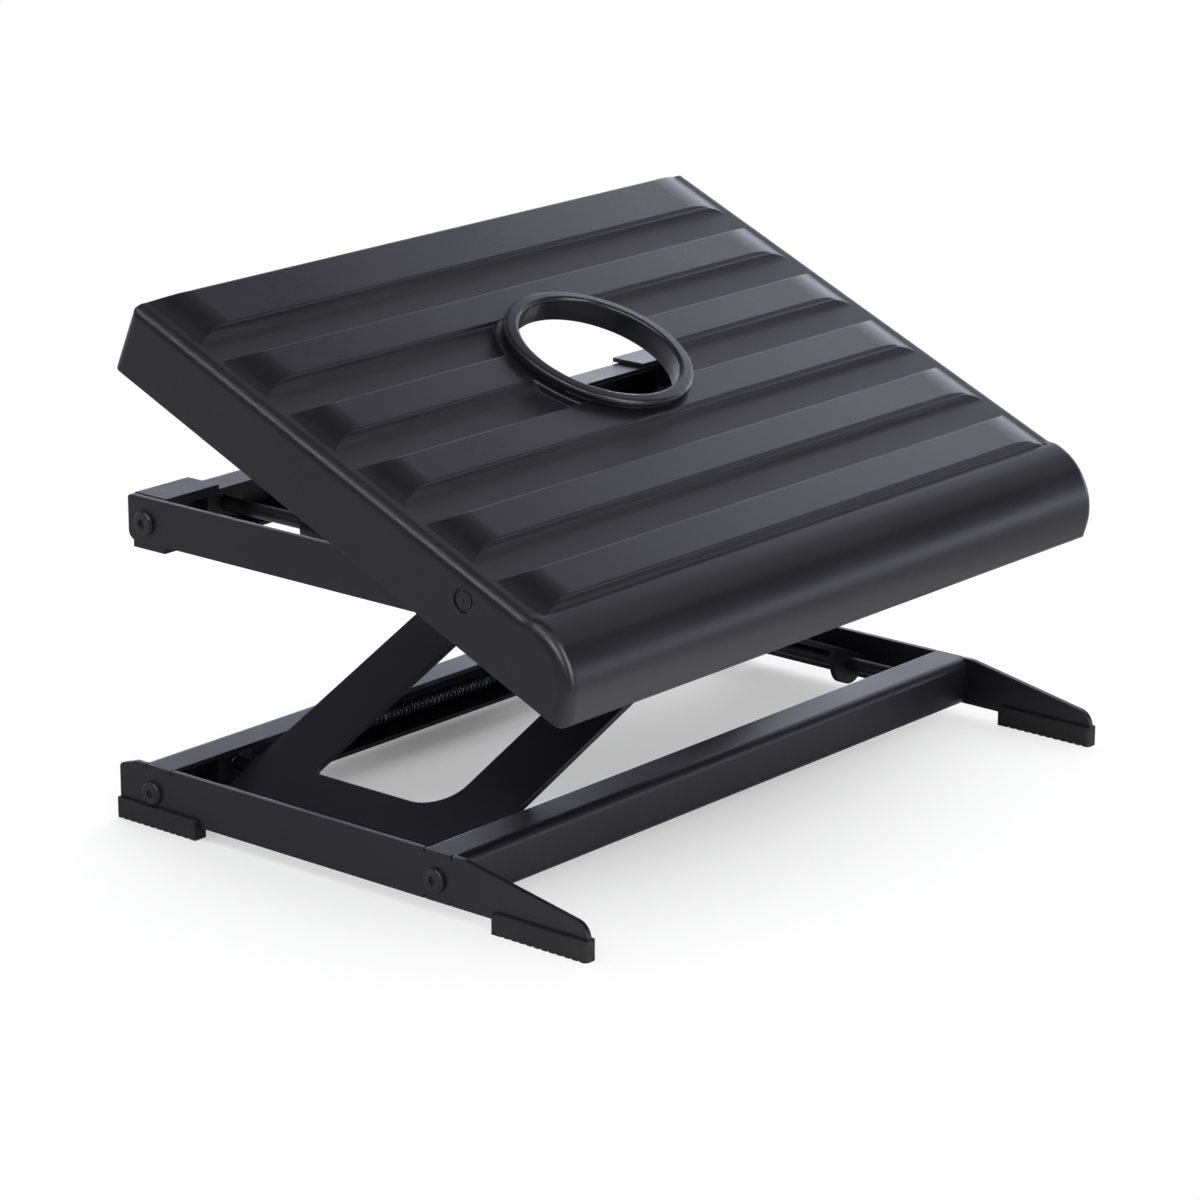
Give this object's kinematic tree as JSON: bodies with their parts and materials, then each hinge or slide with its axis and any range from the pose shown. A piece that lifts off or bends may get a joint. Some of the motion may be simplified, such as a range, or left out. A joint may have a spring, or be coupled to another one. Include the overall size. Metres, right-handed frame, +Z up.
{
  "type": "adjustable footrest",
  "caption": "Dark grey footrest: ribbed tilting foot plate with a round collared hole on a scissor lift frame of folded steel with rubber feet.",
  "frame": {"origin": "on the floor, at the middle of the footprint", "axes": "+X to the right across the footrest as its user sees it, +Y away from the user, +Z up"},
  "size_m": [0.45, 0.3332, 0.2895],
  "materials": {
    "frame_paint": "dark charcoal powder coat, satin",
    "black_steel": "blackened steel fasteners",
    "rod_steel": "blackened steel rods, clips and nuts, lightly oiled",
    "spring_steel": "bluish grey spring wire",
    "rubber": "matt black rubber",
    "slider_plastic": "dark low friction plastic",
    "plate_plastic": "dark grey moulded plastic with a fine even grain"
  },
  "bodies": {
    "base": {"base_left_rail": "frame_paint", "base_right_rail": "frame_paint", "base_front_channel": "frame_paint", "base_rear_channel": "frame_paint", "base_front_end_block": "frame_paint", "base_rear_end_block": "frame_paint", "base_front_pivot_block": "frame_paint", "base_rear_pivot_block": "frame_paint", "base_frame_bolts": "black_steel", "front_left_foot": "rubber", "front_right_foot": "rubber", "rear_left_foot": "rubber", "rear_right_foot": "rubber", "lower_pivot_rod": "rod_steel", "lift_spring": "spring_steel"},
    "inner_link": {"inner_link_plate": "frame_paint", "upper_slide_rod": "rod_steel", "upper_slide_clips": "rod_steel", "crossing_rod": "rod_steel", "crossing_clips": "rod_steel", "crossing_spacers": "slider_plastic"},
    "outer_link": {"outer_link_plate": "frame_paint", "lower_slide_rod": "rod_steel", "lower_slide_clips": "rod_steel"},
    "lower_sliders": {"lower_front_slider": "slider_plastic", "lower_rear_slider": "slider_plastic"},
    "upper_sliders": {"upper_front_slider": "slider_plastic", "upper_rear_slider": "slider_plastic"},
    "upper_frame": {"upper_left_rail": "frame_paint", "upper_right_rail": "frame_paint", "upper_front_channel": "frame_paint", "upper_rear_channel": "frame_paint", "front_left_bracket": "frame_paint", "front_right_bracket": "frame_paint", "rear_left_bracket": "frame_paint", "rear_right_bracket": "frame_paint", "upper_front_end_block": "frame_paint", "upper_rear_end_block": "frame_paint", "upper_front_pivot_block": "frame_paint", "upper_rear_pivot_block": "frame_paint", "upper_frame_bolts": "black_steel", "upper_pivot_rod": "rod_steel", "tilt_screws": "black_steel", "tilt_bushes": "slider_plastic", "tilt_nuts": "rod_steel"},
    "foot_plate": {"foot_plate": "plate_plastic"}
  },
  "joints": [
    {"name": "lift", "type": "hinge", "parent": "base", "child": "inner_link", "pos_m": [0.2, 0, 0.02045], "axis": [0, 1, 0], "range_deg": [-14.43, 0], "deforming": ["lift_spring"]},
    {"name": "crossing", "type": "hinge", "parent": "inner_link", "child": "outer_link", "pos_m": [0.02076, 0, 0.0935], "axis": [0, 1, 0], "range_deg": [0, 28.86]},
    {"name": "upper_fixed_pivot", "type": "hinge", "parent": "outer_link", "child": "upper_frame", "pos_m": [0.2, 0, 0.16655], "axis": [0, 1, 0], "range_deg": [-14.43, 0]},
    {"name": "lower_slider_pivot", "type": "hinge", "parent": "outer_link", "child": "lower_sliders", "pos_m": [-0.15847, 0, 0.02045], "axis": [0, 1, 0], "range_deg": [-14.43, 0]},
    {"name": "upper_slider_pivot", "type": "hinge", "parent": "inner_link", "child": "upper_sliders", "pos_m": [-0.15847, 0, 0.16655], "axis": [0, 1, 0], "range_deg": [0, 14.43]},
    {"name": "tilt", "type": "hinge", "parent": "upper_frame", "child": "foot_plate", "pos_m": [0, -0.0894, 0.1727], "axis": [1, 0, 0], "range_deg": [-23, 2]}
  ],
  "couplings": [
    {"joint": "crossing", "follows": "lift", "ratio": -2},
    {"joint": "upper_fixed_pivot", "follows": "lift", "ratio": 1},
    {"joint": "lower_slider_pivot", "follows": "lift", "ratio": 1},
    {"joint": "upper_slider_pivot", "follows": "lift", "ratio": -1}
  ]
}
